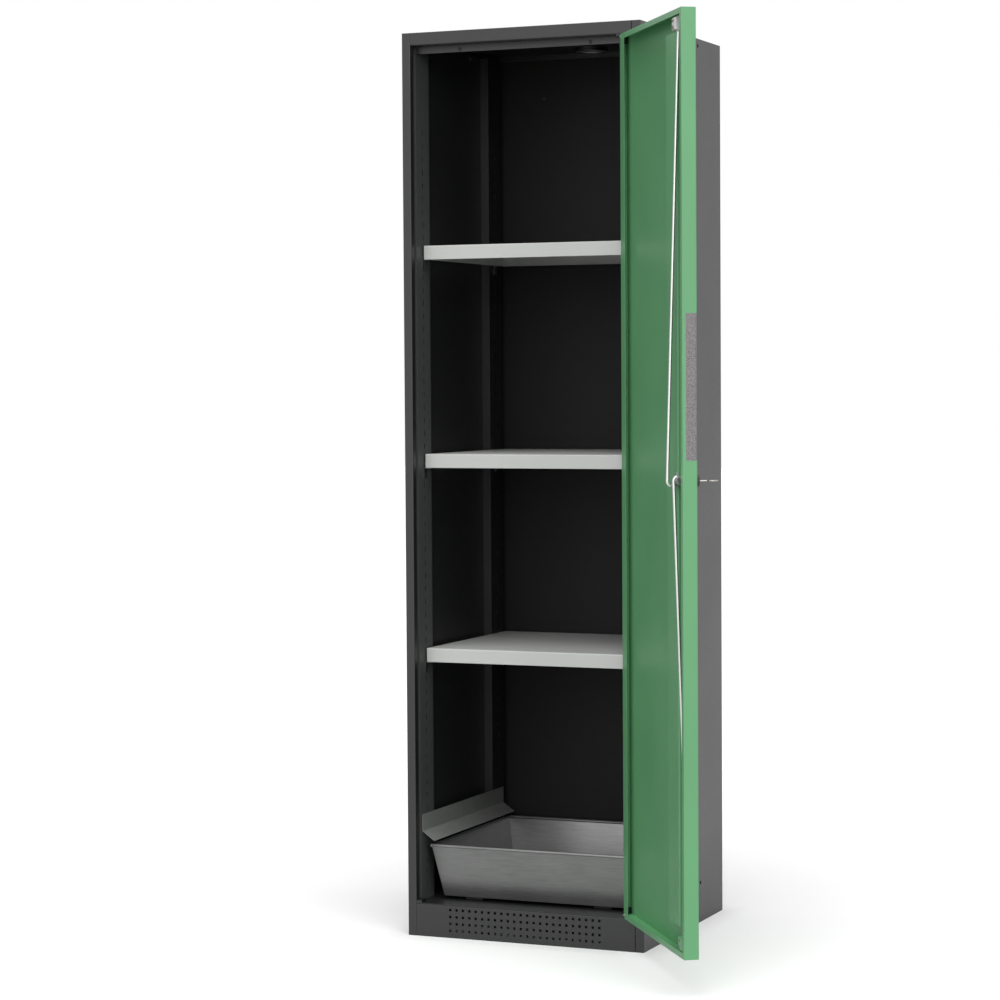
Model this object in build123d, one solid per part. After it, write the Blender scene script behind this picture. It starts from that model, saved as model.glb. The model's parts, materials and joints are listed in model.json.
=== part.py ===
from build123d import *
from math import atan2, cos, degrees, hypot, pi
import os

# Tall chemical storage cabinet of folded sheet with one hinged door, hung shelves, a sump tray
# and a rod lock. Millimetres. X runs to the right, Y to the back and Z up. The origin is the
# middle of the carcass footprint on the floor. Door pieces are drawn closed and then swung open.

# Carcass sheets
CARCASS_WIDTH = 545.0
CARCASS_DEPTH = 520.0
CARCASS_HEIGHT = 1950.0
SHEET = 1.0
BEND_RADIUS = 1.5
STILE_WIDTH = 20.0
JAMB_DEPTH = 15.0
JAMB_LIP = 8.0
REAR_FLANGE = 15.0
FLOOR_HEIGHT = 72.0
ROOF_FLANGE = 10.0
HEADER_HEIGHT = 27.0
HEADER_TOP_FLANGE = 25.0
STOP_DROP = 15.0
STOP_GAP = 2.0
OVERRUN = 2.0

# Fixing holes
JOINING_HOLE_RADIUS = 4.5
JOINING_HOLE_DEPTH = 107.0
JOINING_HOLE_ABOVE_FLOOR = 16.0
JOINING_HOLE_BELOW_TOP = 16.0
WALL_HOLE_RADIUS = 4.25
WALL_HOLE_SPACING = 300.0
WALL_HOLE_BELOW_TOP = 100.0

# Plinth and feet
PLINTH_FLANGE = 15.0
PERFORATION_SIZE = 5.5
PERFORATION_PITCH = 15.0
PERFORATION_COLUMNS = 24
PERFORATION_ROWS = 4
PERFORATION_FIRST_ROW = 16.0
SUPPORT_WIDTH = 80.0
SUPPORT_FLANGE = 20.0
SUPPORT_SHEET = 1.5
FOOT_FROM_SIDE = 45.0
FOOT_FROM_FRONT = 60.0
FOOT_PAD_RADIUS = 16.0
FOOT_PAD_HEIGHT = 9.0
FOOT_PAD_NECK = 8.0
FOOT_SIDES = 6
STUD_RADIUS = 5.0
STUD_CLEARANCE = 0.3
STUD_ABOVE_BRACKET = 18.0
NUT_RADIUS = 9.0
NUT_HEIGHT = 8.0
BRACKET_SHEET = 2.5
BRACKET_LENGTH = 50.0
BRACKET_REACH = 60.0
BRACKET_UNDERSIDE = 20.0
BRACKET_RISE = 36.0

# Slotted uprights
UPRIGHT_WIDTH = 68.0
UPRIGHT_SETBACK = 27.0
UPRIGHT_SHEET = 1.2
SLOT_WIDTH = 5.0
SLOT_LENGTH = 12.0
SLOT_PITCH = 28.25
FIRST_SLOT = 29.5
SLOTS_BELOW_TOP = 175.0

# Shelves and their clips; slot numbers count up from the lowest slot
SHELF_SLOTS = {"lower": 17, "middle": 32, "upper": 48}
SHELF_SHEET = 1.0
SHELF_LIP = 30.0
SHELF_HEM = 15.0
SHELF_SIDE_GAP = 3.5
SHELF_SETBACK = 57.0
SHELF_REAR_GAP = 20.0
CLIP_SHEET = 1.5
CLIP_WIDTH = 14.0
CLIP_RISE = 10.0
CLIP_DROP = 11.0
CLIP_LEDGE = 16.0
HOOK_SHEET = 2.0
HOOK_WIDTH = 4.0
HOOK_CLAW = 7.0
HOOK_PLAY = 0.3

# Sump tray and drip plates
TRAY_SHEET = 1.5
TRAY_HEIGHT = 115.0
TRAY_TAPER = 20.0
TRAY_HEM_WIDTH = 2.5
TRAY_HEM_HEIGHT = 6.0
TRAY_SIDE_GAP = 16.5
TRAY_SETBACK = 40.0
SKID_HEIGHT = 8.0
SKID_WIDTH = 40.0
SKID_FROM_MIDDLE = 150.0
SKID_INSET = 40.0
DRIP_SLOT = 5
DRIP_SHEET = 1.0
DRIP_FLANGE_ABOVE_SLOT = 17.0
DRIP_FLANGE_BELOW_SLOT = 20.0
DRIP_OVERLAP = 12.0
DRIP_ABOVE_RIM = 8.0
DRIP_END_INSET = 7.0

# Exhaust spigot through the roof
SPIGOT_RADIUS = 37.5
SPIGOT_WALL = 1.2
SPIGOT_RISE = 40.0
SPIGOT_DROP = 8.0
SPIGOT_CLEARANCE = 0.3
SPIGOT_FLANGE = 14.0
SPIGOT_FROM_REAR = 95.0

# Door pan
DOOR_REST_ANGLE = 125.76
DOOR_GAP = 2.9
DOOR_TOP_GAP = 6.0
DOOR_BOTTOM_GAP = 7.0
DOOR_THICKNESS = 30.0
DOOR_SHEET = 1.0
DOOR_LIP = 11.0
FREE_EDGE_LIP = 12.0
HINGE_EDGE_DEPTH = 15.0
HINGE_EDGE_LIP = 30.0
CAP_NOTCH = 60.0

# Hinge pivots, glide and buffers
PIVOT_FROM_FRONT = 7.0
PIVOT_FROM_EDGE = 12.6
PIVOT_PLATE = 3.0
PIVOT_PLATE_REACH = 18.0
PIVOT_PLATE_DEPTH = 24.0
PIVOT_PLATE_MARGIN = 1.5
HINGE_PIN_RADIUS = 4.0
HINGE_PIN_ENGAGEMENT = 12.0
HINGE_RUNNING_CLEARANCE = 0.05
HINGE_END_PLAY = 0.3
BUSH_RADIUS = 5.5
BUSH_LENGTH = 14.0
BUSH_FLANGE_RADIUS = 6.8
BUSH_SIDES = 6
GLIDE_WIDTH = 12.0
GLIDE_DEPTH = 22.0
GLIDE_RAMP = 4.0
GLIDE_PLAY = 0.3
BUFFER_RADIUS = 4.0
BUFFER_SIDES = 8
BUFFER_PLAY = 0.3
BUFFER_SPACING = 300.0

# Door stiffener
STIFFENER_FROM_EDGE = 57.0
STIFFENER_WIDTH = 74.0
STIFFENER_DEPTH = 22.0
STIFFENER_FOOT = 5.0
STIFFENER_TOP_INSET = 41.0
STIFFENER_BOTTOM_INSET = 56.0

# Recessed grip in the free edge
GRIP_HEIGHT = 284.0
GRIP_ABOVE_LOCK = 40.0
GRIP_REACH = 34.0
GRIP_DEPTH = 23.0
GRIP_EDGE_RADIUS = 4.0
GRIP_SCOOP_WIDTH = 18.0
GRIP_SCOOP_DEPTH = 15.0
GRIP_SCOOP_MARGIN = 6.0
GRIP_SCOOP_RADIUS = 5.0

# Rod lock
LOCK_HEIGHT = 1008.0
LOCK_BACKSET = 40.0
BARREL_RADIUS = 10.0
BARREL_LENGTH = 30.0
BARREL_SIDES = 12
BARREL_HOLE_CLEARANCE = 0.2
BARREL_NUT_RADIUS = 11.5
BARREL_NUT_HEIGHT = 5.0
ROSETTE_RADIUS = 14.0
ROSETTE_HEIGHT = 5.0
ROSETTE_EDGE = 1.5
ROSETTE_SIDES = 20
ROSETTE_PLAY = 0.3
PLUG_RADIUS = 7.0
PLUG_CLEARANCE = 0.05
PLUG_PROUD = 1.5
NECK_WIDTH = 7.0
CAM_THICKNESS = 3.0
CAM_LENGTH = 42.0
CAM_WIDTH = 16.0
CAM_CORNER = 4.0
CAM_REST_ANGLE = -45.0
CAM_SLOT_CLEARANCE = 0.65
SCREW_RADIUS = 2.0
SCREW_LENGTH = 9.0
SCREW_HEAD_RADIUS = 5.0
SCREW_HEAD_HEIGHT = 3.0
SCREW_SIDES = 8
SCREW_PLAY = 0.05
ROD_RADIUS = 3.0
ROD_OFFSET = 10.0
ROD_TRAVEL = 18.85
ROD_TIP_INSET = 3.0
ROD_PIN_RADIUS = 2.5
ROD_PIN_SIDES = 8
ROD_HOLE_SIDES = 6
UPPER_ROD_STANDOFF = 46.5
LOWER_ROD_STANDOFF = 39.5
UPPER_GUIDE_ROD_DEPTH = 20.0
LOWER_GUIDE_ROD_DEPTH = 10.0
GUIDE_WIDTH = 22.0
GUIDE_HEIGHT = 24.0
GUIDE_INSET = 15.0
GUIDE_DEPTH = 30.0
GUIDE_EDGE = 2.0
GUIDE_CLEARANCE = 0.1
ROD_HOLE_CLEARANCE = 1.0
KEEPER_CLEARANCE = 1.5

# Key, held flat while the lock is open
KEY_THICKNESS = 2.0
KEY_BLADE_WIDTH = 7.0
KEY_BLADE_LENGTH = 24.0
KEY_SHANK_LENGTH = 24.0
KEY_BOW_RADIUS = 12.0
KEY_BOW_SIDES = 16
KEY_BOW_HOLE_RADIUS = 3.0
KEY_BOW_HOLE_OFFSET = 5.0
KEY_PLAY = 0.2

# Planes and places that several pieces share
HALF_WIDTH = CARCASS_WIDTH / 2
FRONT = -CARCASS_DEPTH / 2
REAR = CARCASS_DEPTH / 2
INNER_SIDE = HALF_WIDTH - SHEET
HALF_OPENING = HALF_WIDTH - STILE_WIDTH
ROOF_UNDERSIDE = CARCASS_HEIGHT - SHEET
HEADER_BOTTOM = CARCASS_HEIGHT - HEADER_HEIGHT
STOP_FACE = FRONT + DOOR_THICKNESS + STOP_GAP
BACK_FACE = REAR - SHEET - SHEET
UPRIGHT_TOP = ROOF_UNDERSIDE - ROOF_FLANGE
SPIGOT_CENTRE = (0, REAR - SPIGOT_FROM_REAR)
DOOR_FREE_EDGE = DOOR_GAP - HALF_OPENING
DOOR_HINGE_EDGE = HALF_OPENING - DOOR_GAP
DOOR_TOP = HEADER_BOTTOM - DOOR_TOP_GAP
DOOR_BOTTOM = FLOOR_HEIGHT + DOOR_BOTTOM_GAP
DOOR_INNER_FACE = FRONT + DOOR_THICKNESS
DOOR_SKIN_INSIDE = FRONT + DOOR_SHEET
PIVOT = (DOOR_HINGE_EDGE - PIVOT_FROM_EDGE, FRONT + PIVOT_FROM_FRONT)
LOCK_X = DOOR_FREE_EDGE + LOCK_BACKSET
GRIP_BOTTOM = LOCK_HEIGHT + GRIP_ABOVE_LOCK
TRAY_HALF_WIDTH = HALF_OPENING - TRAY_SIDE_GAP
TRAY_RIM = FLOOR_HEIGHT + SKID_HEIGHT + TRAY_HEIGHT


def slot_height(number):
    """Height of the middle of a slot in the uprights."""
    return FLOOR_HEIGHT + FIRST_SLOT + number * SLOT_PITCH


def spanning_box(x, y, z):
    """Box between the low and high value given for each axis."""
    middle = [(low + high) / 2 for low, high in (x, y, z)]
    return Pos(*middle) * Box(*(high - low for low, high in (x, y, z)))


def along_x(section, start, end):
    """Carry a section drawn in Y and Z from one X to another."""
    return extrude(Plane.YZ.offset(start) * section, amount=end - start, dir=(1, 0, 0))


def along_y(section, start, end):
    """Carry a section drawn in X and Z from one Y to another."""
    return extrude(Plane.XZ.offset(-start) * section, amount=end - start, dir=(0, 1, 0))


def along_z(section, start, end):
    """Carry a section drawn in X and Y from one Z to another."""
    return extrude(Plane.XY.offset(start) * section, amount=end - start, dir=(0, 0, 1))


def round_bar(start, direction, radius, length):
    """Round bar from a point along a direction."""
    foot = (Align.CENTER, Align.CENTER, Align.MIN)
    return Plane(origin=start, z_dir=direction) * Cylinder(radius, length, align=foot)


def folded_section(points, thickness, rounded=()):
    """Section of a folded sheet whose skin runs through the points, with the sheet on their left.

    Corners are numbered from 1 at the second point. Those in rounded are bent, the others sharp.
    """
    skin = [Vector(*point) for point in points]
    runs = [(end - start).normalized() for start, end in zip(skin, skin[1:])]
    normals = [Vector(-run.Y, run.X) for run in runs]
    inner = [skin[0] + normals[0] * thickness]
    skin_radii = []
    inner_radii = []
    for number in range(1, len(runs)):
        before = number - 1
        mitre = 1 + normals[before].dot(normals[number])
        inner.append(skin[number] + (normals[before] + normals[number]) * (thickness / mitre))
        radii = (BEND_RADIUS, BEND_RADIUS + thickness) if number in rounded else (0, 0)
        turns_left = runs[before].cross(runs[number]).Z > 0
        skin_radii.append(max(radii) if turns_left else min(radii))
        inner_radii.append(min(radii) if turns_left else max(radii))
    inner.append(skin[-1] + normals[-1] * thickness)
    outside = FilletPolyline(*skin, radius=skin_radii)
    inside = FilletPolyline(*inner, radius=inner_radii)
    return make_face(outside + Line(skin[-1], inner[-1]) + inside + Line(inner[0], skin[0]))


def group(pieces):
    """Separate solids that share one node."""
    return Compound([solid for piece in pieces for solid in piece.solids()])


def both_sides(piece):
    """A piece and its mirror image across the middle of the cabinet."""
    return [piece, mirror(piece, about=Plane.YZ)]


def rod_line(cam_point, guide_point):
    """Start and direction of a rod's axis, from the lock cam to the guide."""
    start = Vector(*cam_point)
    return start, (Vector(*guide_point) - start).normalized()


def point_at_height(start, direction, height):
    """Point of a rod's axis at a given height."""
    return start + direction * ((height - start.Z) / direction.Z)


GUIDE_MIDDLE = GUIDE_INSET + GUIDE_HEIGHT / 2
UPPER_ROD_LINE = rod_line(
    (LOCK_X + ROD_OFFSET, FRONT + UPPER_ROD_STANDOFF, LOCK_HEIGHT - ROD_TRAVEL / 2),
    (LOCK_X + ROD_OFFSET, FRONT + UPPER_GUIDE_ROD_DEPTH, DOOR_TOP - GUIDE_MIDDLE),
)
LOWER_ROD_LINE = rod_line(
    (LOCK_X - ROD_OFFSET, FRONT + LOWER_ROD_STANDOFF, LOCK_HEIGHT + ROD_TRAVEL / 2),
    (LOCK_X - ROD_OFFSET, FRONT + LOWER_GUIDE_ROD_DEPTH, DOOR_BOTTOM + GUIDE_MIDDLE),
)


def rod_hole(line, height, clearance, span):
    """Upright cutter where a rod passes through a sheet."""
    centre = point_at_height(*line, height)
    hexagon = RegularPolygon(ROD_RADIUS + clearance, ROD_HOLE_SIDES, major_radius=False)
    return along_z(Pos(centre.X, centre.Y) * hexagon, height - span / 2, height + span / 2)


def left_side_panel():
    """Side sheet with its front stile, jamb return, jamb lip, rear flange and joining holes."""
    jamb_face = STILE_WIDTH - HALF_WIDTH
    section = folded_section(
        [
            (REAR_FLANGE - HALF_WIDTH, REAR),
            (-HALF_WIDTH, REAR),
            (-HALF_WIDTH, FRONT),
            (jamb_face, FRONT),
            (jamb_face, FRONT + JAMB_DEPTH),
            (jamb_face - JAMB_LIP, FRONT + JAMB_DEPTH),
        ],
        SHEET,
        rounded=(2, 3),
    )
    panel = along_z(section, 0, ROOF_UNDERSIDE)
    low = FLOOR_HEIGHT + JOINING_HOLE_ABOVE_FLOOR
    high = CARCASS_HEIGHT - JOINING_HOLE_BELOW_TOP
    for height in (low, high):
        start = (-HALF_WIDTH - OVERRUN, JOINING_HOLE_DEPTH, height)
        panel -= round_bar(start, (1, 0, 0), JOINING_HOLE_RADIUS, SHEET + OVERRUN + OVERRUN)
    return panel


def back_panel():
    """Back sheet in front of the side panels' rear flanges, with two wall-fixing holes."""
    panel = spanning_box((-INNER_SIDE, INNER_SIDE), (BACK_FACE, REAR - SHEET), (0, ROOF_UNDERSIDE))
    height = CARCASS_HEIGHT - WALL_HOLE_BELOW_TOP
    for side in (-WALL_HOLE_SPACING / 2, WALL_HOLE_SPACING / 2):
        start = (side, BACK_FACE - OVERRUN, height)
        panel -= round_bar(start, (0, 1, 0), WALL_HOLE_RADIUS, SHEET + OVERRUN + OVERRUN)
    return panel


def roof_panel():
    """Top sheet with a locating flange inside the side and back panels and the exhaust hole."""
    top = spanning_box((-HALF_WIDTH, HALF_WIDTH), (FRONT, REAR), (ROOF_UNDERSIDE, CARCASS_HEIGHT))
    flange_front = FRONT + JAMB_DEPTH + HEADER_TOP_FLANGE
    flange = spanning_box((-INNER_SIDE, INNER_SIDE), (flange_front, BACK_FACE), (UPRIGHT_TOP, ROOF_UNDERSIDE))
    inside = INNER_SIDE - SHEET
    hollow = spanning_box(
        (-inside, inside),
        (flange_front - OVERRUN, BACK_FACE - SHEET),
        (UPRIGHT_TOP - OVERRUN, ROOF_UNDERSIDE),
    )
    hole = Cylinder(SPIGOT_RADIUS + SPIGOT_CLEARANCE, SHEET + OVERRUN + OVERRUN)
    return top + (flange - hollow) - Pos(*SPIGOT_CENTRE, CARCASS_HEIGHT - SHEET / 2) * hole


def header_rail():
    """Folded rail over the door: top flange, face, underside with the rod keeper, stop lip."""
    section = folded_section(
        [
            (FRONT + HEADER_TOP_FLANGE, ROOF_UNDERSIDE),
            (FRONT, ROOF_UNDERSIDE),
            (FRONT, HEADER_BOTTOM),
            (STOP_FACE, HEADER_BOTTOM),
            (STOP_FACE, HEADER_BOTTOM - STOP_DROP),
        ],
        SHEET,
        rounded=(2,),
    )
    rail = along_x(section, -HALF_OPENING, HALF_OPENING)
    return rail - rod_hole(UPPER_ROD_LINE, HEADER_BOTTOM, KEEPER_CLEARANCE, SHEET + OVERRUN + OVERRUN)


def floor_panel():
    """Floor sheet, narrower between the jambs, with the keeper hole of the lower rod."""
    behind_jamb = FRONT + JAMB_DEPTH
    outline = Polyline(
        (-HALF_OPENING, FRONT),
        (HALF_OPENING, FRONT),
        (HALF_OPENING, behind_jamb),
        (INNER_SIDE, behind_jamb),
        (INNER_SIDE, BACK_FACE),
        (-INNER_SIDE, BACK_FACE),
        (-INNER_SIDE, behind_jamb),
        (-HALF_OPENING, behind_jamb),
        close=True,
    )
    panel = along_z(make_face(outline), FLOOR_HEIGHT - SHEET, FLOOR_HEIGHT)
    return panel - rod_hole(LOWER_ROD_LINE, FLOOR_HEIGHT, KEEPER_CLEARANCE, SHEET + SHEET + OVERRUN)


def plinth_panel():
    """Perforated front of the base, folded back at its top and bottom."""
    top = FLOOR_HEIGHT - SHEET
    section = folded_section(
        [(FRONT + PLINTH_FLANGE, top), (FRONT, top), (FRONT, 0), (FRONT + PLINTH_FLANGE, 0)],
        SHEET,
        rounded=(1,),
    )
    panel = along_x(section, -HALF_OPENING, HALF_OPENING)
    middle_row = PERFORATION_FIRST_ROW + (PERFORATION_ROWS - 1) * PERFORATION_PITCH / 2
    grid = GridLocations(PERFORATION_PITCH, PERFORATION_PITCH, PERFORATION_COLUMNS, PERFORATION_ROWS)
    holes = Sketch() + grid * Rectangle(PERFORATION_SIZE, PERFORATION_SIZE)
    panel -= along_y(Pos(0, middle_row) * holes, FRONT - OVERRUN, FRONT + SHEET + OVERRUN)
    return panel - rod_hole(LOWER_ROD_LINE, FLOOR_HEIGHT, KEEPER_CLEARANCE, OVERRUN + OVERRUN + SHEET)


def floor_support():
    """Channel across the middle of the base, standing on the ground and carrying the floor."""
    half = SUPPORT_WIDTH / 2
    rim = FLOOR_HEIGHT - SHEET - SUPPORT_SHEET
    section = folded_section(
        [
            (-half - SUPPORT_FLANGE, rim),
            (-half, rim),
            (-half, 0),
            (half, 0),
            (half, rim),
            (half + SUPPORT_FLANGE, rim),
        ],
        SUPPORT_SHEET,
    )
    return along_x(section, -INNER_SIDE, INNER_SIDE)


def foot_places():
    """Centres of the left-hand feet, front and rear."""
    return [(FOOT_FROM_SIDE - HALF_WIDTH, side * (REAR - FOOT_FROM_FRONT)) for side in (-1, 1)]


def foot_brackets():
    """Four angle brackets on the side panels that hold the studs of the feet."""
    section = folded_section(
        [
            (-INNER_SIDE, BRACKET_UNDERSIDE + BRACKET_RISE),
            (-INNER_SIDE, BRACKET_UNDERSIDE),
            (BRACKET_REACH - INNER_SIDE, BRACKET_UNDERSIDE),
        ],
        BRACKET_SHEET,
    )
    brackets = []
    for x, y in foot_places():
        angle = along_y(section, y - BRACKET_LENGTH / 2, y + BRACKET_LENGTH / 2)
        hole = Pos(x, y) * RegularPolygon(STUD_RADIUS + STUD_CLEARANCE, FOOT_SIDES)
        angle -= along_z(hole, BRACKET_UNDERSIDE - OVERRUN, BRACKET_UNDERSIDE + BRACKET_SHEET + OVERRUN)
        brackets += both_sides(angle)
    return group(brackets)


def levelling_feet():
    """Four feet: a tapered pad and a stud with a nut under the bracket."""
    stud_top = BRACKET_UNDERSIDE + BRACKET_SHEET + STUD_ABOVE_BRACKET
    drawn_in = (FOOT_PAD_RADIUS - FOOT_PAD_NECK) * cos(pi / FOOT_SIDES)
    slope = degrees(atan2(drawn_in, FOOT_PAD_HEIGHT))
    foot = extrude(RegularPolygon(FOOT_PAD_RADIUS, FOOT_SIDES), amount=FOOT_PAD_HEIGHT, taper=slope)
    foot += along_z(RegularPolygon(STUD_RADIUS, FOOT_SIDES), FOOT_PAD_HEIGHT, stud_top)
    foot += along_z(RegularPolygon(NUT_RADIUS, FOOT_SIDES), BRACKET_UNDERSIDE - NUT_HEIGHT, BRACKET_UNDERSIDE)
    return group([side for x, y in foot_places() for side in both_sides(Pos(x, y) * foot)])


def left_upright(middle):
    """Channel on the side panel with one column of slots, centred on a depth."""
    face = -HALF_OPENING
    near = middle - UPRIGHT_WIDTH / 2
    far = middle + UPRIGHT_WIDTH / 2
    section = folded_section(
        [(-INNER_SIDE, near), (face, near), (face, far), (-INNER_SIDE, far)],
        UPRIGHT_SHEET,
    )
    upright = along_z(section, FLOOR_HEIGHT, UPRIGHT_TOP)
    count = int((UPRIGHT_TOP - SLOTS_BELOW_TOP - slot_height(0)) / SLOT_PITCH) + 1
    column_middle = slot_height((count - 1) / 2)
    slots = Sketch() + GridLocations(0, SLOT_PITCH, 1, count) * Rectangle(SLOT_WIDTH, SLOT_LENGTH)
    cutter = along_x(
        Pos(middle, column_middle) * slots,
        face - UPRIGHT_SHEET - OVERRUN,
        face + OVERRUN,
    )
    return upright - cutter


FRONT_UPRIGHT_MIDDLE = FRONT + UPRIGHT_SETBACK + UPRIGHT_WIDTH / 2
REAR_UPRIGHT_MIDDLE = REAR - UPRIGHT_SETBACK - UPRIGHT_WIDTH / 2


def left_hook(middle, slot):
    """Hook that hangs in a slot of a left-hand upright."""
    face = -HALF_OPENING
    seat = slot_height(slot) - SLOT_LENGTH / 2
    back = face - UPRIGHT_SHEET - HOOK_PLAY - HOOK_SHEET
    section = folded_section(
        [(face, seat + HOOK_SHEET), (back, seat + HOOK_SHEET), (back, seat - HOOK_CLAW)],
        HOOK_SHEET,
    )
    return along_y(section, middle - HOOK_WIDTH / 2, middle + HOOK_WIDTH / 2)


def shelf_clips(slot):
    """Four clips hooked into the uprights, whose ledges carry one shelf."""
    face = -HALF_OPENING
    seat = slot_height(slot) + CLIP_RISE
    section = folded_section(
        [(face + CLIP_LEDGE, seat), (face, seat), (face, slot_height(slot) - CLIP_DROP)],
        CLIP_SHEET,
    )
    clips = []
    for middle in (FRONT_UPRIGHT_MIDDLE, REAR_UPRIGHT_MIDDLE):
        angle = along_y(section, middle - CLIP_WIDTH / 2, middle + CLIP_WIDTH / 2)
        clips += both_sides(angle + left_hook(middle, slot))
    return group(clips)


def shelf(slot):
    """Shelf folded down on four sides and hemmed at the front and rear."""
    half = HALF_OPENING - SHELF_SIDE_GAP
    near = FRONT + SHELF_SETBACK
    far = BACK_FACE - SHELF_REAR_GAP
    bottom = slot_height(slot) + CLIP_RISE
    top = bottom + SHELF_LIP
    section = folded_section(
        [
            (far - SHELF_HEM, bottom),
            (far, bottom),
            (far, top),
            (near, top),
            (near, bottom),
            (near + SHELF_HEM, bottom),
        ],
        SHELF_SHEET,
        rounded=(3,),
    )
    inside = SHELF_SHEET + BEND_RADIUS
    end_lip = Pos((near + far) / 2, (bottom + top) / 2) * Rectangle(far - near - 2 * inside, top - bottom)
    pan = along_x(section, -half, half)
    for end in (-half, half - SHELF_SHEET):
        pan += along_x(end_lip, end, end + SHELF_SHEET)
    return pan


def sump_tray():
    """Tray with sloping walls and a hemmed rim, standing on two skids."""
    near = FRONT + TRAY_SETBACK
    far = REAR - TRAY_SETBACK
    middle = (near + far) / 2
    bottom = FLOOR_HEIGHT + SKID_HEIGHT
    hem = TRAY_RIM - TRAY_HEM_HEIGHT
    slope = atan2(TRAY_TAPER, hem - bottom)
    wall = TRAY_SHEET / cos(slope)

    def level(height, inset):
        """Rectangle at a height, drawn in from the rim by an inset all round."""
        return Pos(0, middle, height) * Rectangle(2 * (TRAY_HALF_WIDTH - inset), far - near - 2 * inset)

    def widening(low, inset):
        """Block between the sloping walls from a height up to the hem, drawn in there by an inset."""
        foot = inset + TRAY_TAPER * (hem - low) / (hem - bottom)
        block = extrude(level(low, foot), amount=hem - low)
        walls = block.faces().sort_by(Axis.Z)[1:-1]
        return draft(walls, Plane.XY.offset(low), -degrees(slope))

    inside = TRAY_HEM_WIDTH + wall
    body = widening(bottom, TRAY_HEM_WIDTH) + extrude(level(hem, 0), amount=TRAY_HEM_HEIGHT)
    body -= widening(bottom + TRAY_SHEET, inside)
    body -= extrude(level(hem, inside), amount=TRAY_HEM_HEIGHT + OVERRUN)
    for side in (-SKID_FROM_MIDDLE, SKID_FROM_MIDDLE):
        body += spanning_box(
            (side - SKID_WIDTH / 2, side + SKID_WIDTH / 2),
            (near + SKID_INSET, far - SKID_INSET),
            (FLOOR_HEIGHT, bottom),
        )
    return body


def left_drip_plate():
    """Plate hung on the uprights that leads spills over the rim of the tray."""
    face = -HALF_OPENING
    slot = slot_height(DRIP_SLOT)
    section = folded_section(
        [
            (face, slot + DRIP_FLANGE_ABOVE_SLOT),
            (face, slot - DRIP_FLANGE_BELOW_SLOT),
            (DRIP_OVERLAP - TRAY_HALF_WIDTH, TRAY_RIM + DRIP_ABOVE_RIM),
        ],
        DRIP_SHEET,
        rounded=(1,),
    )
    reach = UPRIGHT_WIDTH / 2 - DRIP_END_INSET
    plate = along_y(section, FRONT_UPRIGHT_MIDDLE - reach, REAR_UPRIGHT_MIDDLE + reach)
    for middle in (FRONT_UPRIGHT_MIDDLE, REAR_UPRIGHT_MIDDLE):
        plate += left_hook(middle, DRIP_SLOT)
    return plate


def exhaust_spigot():
    """Collar for an exhaust duct through the hole in the roof, with a square flange on the roof."""
    low = ROOF_UNDERSIDE - SPIGOT_DROP
    high = CARCASS_HEIGHT + SPIGOT_RISE
    flange = 2 * (SPIGOT_RADIUS + SPIGOT_FLANGE)
    spigot = along_z(Circle(SPIGOT_RADIUS), low, high)
    spigot += along_z(Rectangle(flange, flange), CARCASS_HEIGHT, CARCASS_HEIGHT + SPIGOT_WALL)
    spigot -= along_z(Circle(SPIGOT_RADIUS - SPIGOT_WALL), low - OVERRUN, high + OVERRUN)
    return Pos(*SPIGOT_CENTRE) * spigot


def hinge_pivot(seat, up):
    """Plate on the carcass with the pin that the door turns on; up is 1 or -1."""
    face = seat + up * PIVOT_PLATE
    door_edge = DOOR_BOTTOM if up > 0 else DOOR_TOP
    tip = door_edge + up * HINGE_PIN_ENGAGEMENT
    plate = spanning_box(
        (PIVOT[0] - PIVOT_PLATE_REACH, HALF_OPENING),
        (FRONT + PIVOT_PLATE_MARGIN, FRONT + PIVOT_PLATE_MARGIN + PIVOT_PLATE_DEPTH),
        sorted((seat, face)),
    )
    return plate + round_bar((*PIVOT, seat), (0, 0, up), HINGE_PIN_RADIUS, abs(tip - seat))


def hinge_bush(door_edge, gap, up):
    """Six-sided flanged bush in the door's edge, running on the pin; up points into the door."""
    flange = gap - PIVOT_PLATE - HINGE_END_PLAY
    bore = HINGE_PIN_RADIUS + HINGE_RUNNING_CLEARANCE
    bush = along_z(RegularPolygon(BUSH_RADIUS, BUSH_SIDES), 0, BUSH_LENGTH)
    bush += along_z(RegularPolygon(BUSH_FLANGE_RADIUS, BUSH_SIDES), -flange, 0)
    bush -= Cylinder(bore, 2 * (BUSH_LENGTH + OVERRUN))
    return Pos(*PIVOT, door_edge) * (bush if up > 0 else mirror(bush, about=Plane.XY))


def door_glide():
    """Run-on block on the floor under the free corner of the closed door, ramped at the front."""
    top = DOOR_BOTTOM - GLIDE_PLAY
    back = FRONT + PIVOT_PLATE_MARGIN + GLIDE_DEPTH
    start = FRONT + PIVOT_PLATE_MARGIN
    outline = Polyline(
        (start, FLOOR_HEIGHT),
        (back, FLOOR_HEIGHT),
        (back, top),
        (start + GLIDE_RAMP, top),
        (start, top - GLIDE_RAMP / 2),
        close=True,
    )
    return along_x(make_face(outline), -HALF_OPENING, GLIDE_WIDTH - HALF_OPENING)


def door_buffers():
    """Two pads on the stop lip that the door's top lip closes against."""
    height = HEADER_BOTTOM - STOP_DROP / 2 - BUFFER_RADIUS / 2
    thickness = STOP_GAP - BUFFER_PLAY
    places = (-BUFFER_SPACING / 2, BUFFER_SPACING / 2)
    sections = [Pos(x, height) * RegularPolygon(BUFFER_RADIUS, BUFFER_SIDES) for x in places]
    return group([along_y(section, STOP_FACE - thickness, STOP_FACE) for section in sections])


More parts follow.
